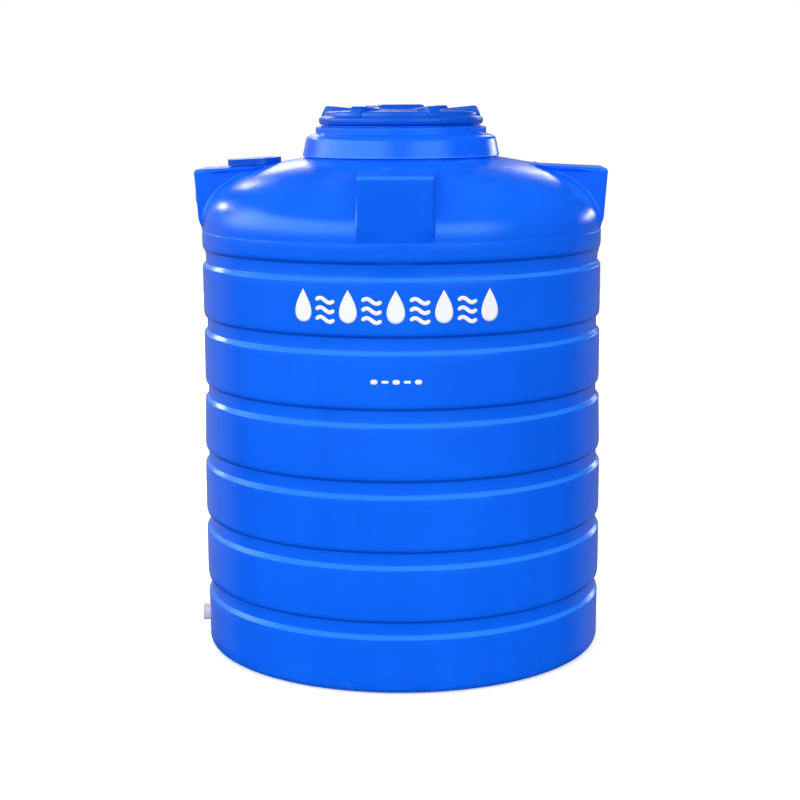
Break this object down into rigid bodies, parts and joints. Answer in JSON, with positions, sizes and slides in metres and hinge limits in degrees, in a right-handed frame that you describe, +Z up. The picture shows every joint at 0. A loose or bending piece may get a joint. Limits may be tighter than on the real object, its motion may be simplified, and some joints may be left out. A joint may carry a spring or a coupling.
{
  "type": "livestock water tank",
  "caption": "Upright ribbed water tank for stock watering: domed top with raised lugs, screw manhole lid, access cap, float valve and bottom outlet.",
  "frame": {"origin": "centre of the flat base, on the floor", "axes": "+Z up the tank axis; the plain front lug faces -Y and the lug with the inlet and access cap faces -X"},
  "size_m": [1.1365, 1.123, 1.498],
  "materials": {
    "blue_tank": "satin moulded polyethylene",
    "blue_lid": "satin moulded polyethylene",
    "float_plastic": "blown polypropylene",
    "white_plastic": "satin",
    "nylon": "satin",
    "black_rubber": "matte",
    "brass": "cast and turned"
  },
  "bodies": {
    "tank": {"tank_shell": "blue_tank", "inlet_body": "white_plastic", "inlet_gasket_out": "black_rubber", "inlet_gasket_in": "black_rubber", "inlet_nut": "white_plastic", "valve_body": "brass", "valve_seat": "nylon", "pivot_pin": "brass", "pin_clip": "brass", "outlet_body": "white_plastic", "outlet_gasket_out": "black_rubber", "outlet_gasket_in": "black_rubber", "outlet_nut": "white_plastic", "outlet_strainer": "white_plastic"},
    "lid_seal": {"lid_gasket": "black_rubber"},
    "lid": {"lid": "blue_lid"},
    "cap_seal": {"access_gasket": "black_rubber"},
    "cap": {"access_cap": "blue_lid"},
    "float_arm": {"float_lever": "brass", "float_rod": "brass", "rod_nut": "brass", "float_ball": "float_plastic"},
    "plunger": {"valve_plunger": "nylon", "valve_seal": "black_rubber"}
  },
  "joints": [
    {"name": "lid_lift", "type": "slide", "parent": "tank", "child": "lid_seal", "axis": [0, 0, 1], "range_m": [0, 0.3]},
    {"name": "lid_turn", "type": "hinge", "parent": "lid_seal", "child": "lid", "pos_m": [0, 0, 1.465], "axis": [0, 0, 1], "range_deg": [0, 450]},
    {"name": "cap_lift", "type": "slide", "parent": "tank", "child": "cap_seal", "axis": [-0.0482, 0, 0.9988], "range_m": [0, 0.15]},
    {"name": "cap_turn", "type": "hinge", "parent": "cap_seal", "child": "cap", "pos_m": [-0.404, 0, 1.33412], "axis": [-0.0482, 0, 0.9988], "range_deg": [0, 540]},
    {"name": "float_swing", "type": "hinge", "parent": "tank", "child": "float_arm", "pos_m": [-0.49699, 0, 1.23435], "axis": [0, -1, 0], "range_deg": [0, 45]},
    {"name": "plunger_slide", "type": "slide", "parent": "tank", "child": "plunger", "axis": [-0.9973, 0, -0.0741], "range_m": [0, 0.01072]}
  ],
  "couplings": [
    {"joint": "plunger_slide", "follows": "float_swing", "m_per_rad": 0.013643}
  ]
}
